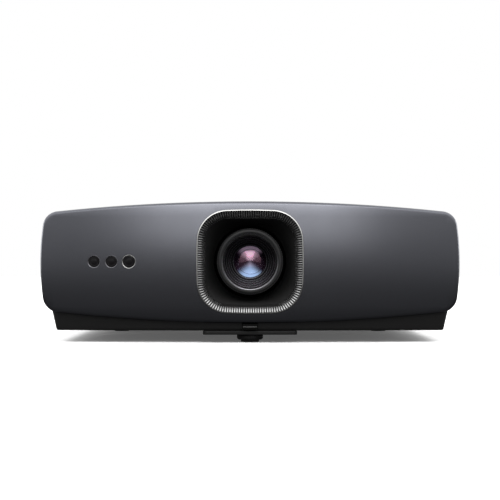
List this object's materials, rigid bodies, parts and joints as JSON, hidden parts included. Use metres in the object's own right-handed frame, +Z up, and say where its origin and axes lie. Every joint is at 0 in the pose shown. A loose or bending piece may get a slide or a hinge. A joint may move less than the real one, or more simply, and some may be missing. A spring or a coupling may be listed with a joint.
{
  "type": "home projector",
  "caption": "Home projector: bowed front panel, recessed lens in a ribbed square opening, sensor windows, grilles, keypad, quick-release front foot and levelling rear feet.",
  "frame": {"origin": "on the table under the middle of the case", "axes": "+X along the case width, to the right as seen from the front; +Y from the lens to the back; +Z up"},
  "size_m": [0.42, 0.31, 0.141],
  "materials": {
    "graphite_paint": "satin",
    "bezel_chrome": "polished",
    "funnel_black": "matte",
    "cover_plastic": "fine texture",
    "base_plastic": "fine texture",
    "plated_steel": "plated",
    "insert_brass": "machined",
    "window_glass": "polished dark",
    "ring_chrome": "polished",
    "circuit_board": "solder mask",
    "lens_black": "anti-reflection black",
    "zoom_rubber": "ribbed",
    "gear_plastic": "moulded",
    "lens_glass": "coated",
    "motor_steel": "drawn can",
    "engine_aluminium": "die cast",
    "fin_aluminium": "extruded",
    "led_board": "white mask",
    "black_plastic": "moulded",
    "speaker_plastic": "moulded",
    "key_plastic": "satin",
    "leg_steel": "machined",
    "disc_plastic": "knurled",
    "pad_rubber": "matte",
    "button_plastic": "ridged"
  },
  "bodies": {
    "case": {"front_fascia": "graphite_paint", "lens_bezel": "bezel_chrome", "lens_funnel": "funnel_black", "top_cover": "cover_plastic", "base_tray": "base_plastic", "left_grille": "cover_plastic", "right_grille": "cover_plastic", "rear_panel": "base_plastic", "case_screws": "plated_steel", "mount_inserts": "insert_brass", "small_windows": "window_glass", "camera_window": "window_glass", "window_rings": "ring_chrome", "sensor_board": "circuit_board", "lens_barrel": "lens_black", "rear_lens": "lens_glass", "focus_motor": "motor_steel", "optical_engine": "engine_aluminium", "prism": "lens_glass", "dmd_board": "circuit_board", "dmd_heatsink": "fin_aluminium", "dichroic_plates": "lens_glass", "led_modules": "led_board", "led_heatsinks": "fin_aluminium", "left_fan_frame": "black_plastic", "right_fan_frame": "black_plastic", "power_board": "circuit_board", "main_board": "circuit_board", "hdmi_sockets": "plated_steel", "usb_sockets": "plated_steel", "audio_jacks": "black_plastic", "power_inlet": "black_plastic", "speakers": "speaker_plastic", "keypad_board": "circuit_board", "foot_bracket": "base_plastic"},
    "zoom_ring": {"zoom_ring": "zoom_rubber"},
    "zoom_group": {"zoom_cell": "lens_black", "zoom_lens": "lens_glass"},
    "focus_ring": {"focus_ring": "gear_plastic"},
    "focus_group": {"front_cell": "lens_black", "front_lens": "lens_glass"},
    "focus_pinion": {"focus_pinion": "insert_brass"},
    "left_fan": {"left_fan_rotor": "black_plastic"},
    "right_fan": {"right_fan_rotor": "black_plastic"},
    "front_leg": {"foot_leg": "leg_steel"},
    "front_pad": {"foot_pad": "pad_rubber"},
    "front_disc": {"foot_screw": "disc_plastic"},
    "release_button": {"release_button": "button_plastic"},
    "rear_left_pad": {"rear_left_pad": "pad_rubber"},
    "rear_left_disc": {"rear_left_screw": "disc_plastic"},
    "rear_right_pad": {"rear_right_pad": "pad_rubber"},
    "rear_right_disc": {"rear_right_screw": "disc_plastic"},
    "power_key": {"power_key": "key_plastic"},
    "ok_key": {"ok_key": "key_plastic"},
    "up_key": {"up_key": "key_plastic"},
    "down_key": {"down_key": "key_plastic"},
    "left_key": {"left_key": "key_plastic"},
    "right_key": {"right_key": "key_plastic"},
    "source_key": {"source_key": "key_plastic"},
    "back_key": {"back_key": "key_plastic"}
  },
  "joints": [
    {"name": "zoom_ring_turn", "type": "hinge", "parent": "case", "child": "zoom_ring", "pos_m": [0, -0.13, 0.081], "axis": [0, 1, 0], "range_deg": [0, 60]},
    {"name": "zoom_group_slide", "type": "slide", "parent": "case", "child": "zoom_group", "axis": [0, -1, 0], "range_m": [0, 0.012]},
    {"name": "focus_ring_turn", "type": "hinge", "parent": "case", "child": "focus_ring", "pos_m": [0, -0.105, 0.081], "axis": [0, 1, 0], "range_deg": [0, 90]},
    {"name": "focus_group_slide", "type": "slide", "parent": "case", "child": "focus_group", "axis": [0, -1, 0], "range_m": [0, 0.0025]},
    {"name": "focus_pinion_turn", "type": "hinge", "parent": "case", "child": "focus_pinion", "pos_m": [0.02973, -0.105, 0.11073], "axis": [0, 1, 0], "range_deg": [-540, 0]},
    {"name": "left_fan_spin", "type": "hinge", "parent": "case", "child": "left_fan", "pos_m": [-0.178, 0.002, 0.081], "axis": [1, 0, 0], "continuous": true},
    {"name": "right_fan_spin", "type": "hinge", "parent": "case", "child": "right_fan", "pos_m": [0.178, 0.03, 0.081], "axis": [1, 0, 0], "continuous": true},
    {"name": "power_press", "type": "slide", "parent": "case", "child": "power_key", "axis": [0, 0, -1], "range_m": [0, 0.001], "stiffness_N_per_m": 500, "springref_m": -0.001},
    {"name": "ok_press", "type": "slide", "parent": "case", "child": "ok_key", "axis": [0, 0, -1], "range_m": [0, 0.001], "stiffness_N_per_m": 500, "springref_m": -0.001},
    {"name": "up_press", "type": "slide", "parent": "case", "child": "up_key", "axis": [0, 0, -1], "range_m": [0, 0.001], "stiffness_N_per_m": 500, "springref_m": -0.001},
    {"name": "down_press", "type": "slide", "parent": "case", "child": "down_key", "axis": [0, 0, -1], "range_m": [0, 0.001], "stiffness_N_per_m": 500, "springref_m": -0.001},
    {"name": "left_press", "type": "slide", "parent": "case", "child": "left_key", "axis": [0, 0, -1], "range_m": [0, 0.001], "stiffness_N_per_m": 500, "springref_m": -0.001},
    {"name": "right_press", "type": "slide", "parent": "case", "child": "right_key", "axis": [0, 0, -1], "range_m": [0, 0.001], "stiffness_N_per_m": 500, "springref_m": -0.001},
    {"name": "source_press", "type": "slide", "parent": "case", "child": "source_key", "axis": [0, 0, -1], "range_m": [0, 0.001], "stiffness_N_per_m": 500, "springref_m": -0.001},
    {"name": "back_press", "type": "slide", "parent": "case", "child": "back_key", "axis": [0, 0, -1], "range_m": [0, 0.001], "stiffness_N_per_m": 500, "springref_m": -0.001},
    {"name": "release_press", "type": "slide", "parent": "case", "child": "release_button", "axis": [0, 1, 0], "range_m": [0, 0.0025], "stiffness_N_per_m": 800, "springref_m": -0.0015},
    {"name": "front_leg_slide", "type": "slide", "parent": "case", "child": "front_leg", "axis": [0, 0, -1], "range_m": [0, 0.015]},
    {"name": "front_pad_slide", "type": "slide", "parent": "front_leg", "child": "front_pad", "axis": [0, 0, -1], "range_m": [0, 0.005]},
    {"name": "front_disc_turn", "type": "hinge", "parent": "front_pad", "child": "front_disc", "pos_m": [0, -0.124, 0.005], "axis": [0, 0, 1], "range_deg": [0, 1440]},
    {"name": "rear_left_pad_slide", "type": "slide", "parent": "case", "child": "rear_left_pad", "axis": [0, 0, -1], "range_m": [0, 0.005]},
    {"name": "rear_left_disc_turn", "type": "hinge", "parent": "rear_left_pad", "child": "rear_left_disc", "pos_m": [-0.15, 0.117, 0.005], "axis": [0, 0, 1], "range_deg": [0, 1440]},
    {"name": "rear_right_pad_slide", "type": "slide", "parent": "case", "child": "rear_right_pad", "axis": [0, 0, -1], "range_m": [0, 0.005]},
    {"name": "rear_right_disc_turn", "type": "hinge", "parent": "rear_right_pad", "child": "rear_right_disc", "pos_m": [0.15, 0.117, 0.005], "axis": [0, 0, 1], "range_deg": [0, 1440]}
  ],
  "couplings": [
    {"joint": "zoom_group_slide", "follows": "zoom_ring_turn", "m_per_rad": 0.011459},
    {"joint": "focus_group_slide", "follows": "focus_ring_turn", "m_per_rad": 0.0015914},
    {"joint": "focus_pinion_turn", "follows": "focus_ring_turn", "ratio": -6},
    {"joint": "front_disc_turn", "follows": "front_pad_slide", "rad_per_m": 5026.5},
    {"joint": "rear_left_disc_turn", "follows": "rear_left_pad_slide", "rad_per_m": 5026.5},
    {"joint": "rear_right_disc_turn", "follows": "rear_right_pad_slide", "rad_per_m": 5026.5}
  ]
}
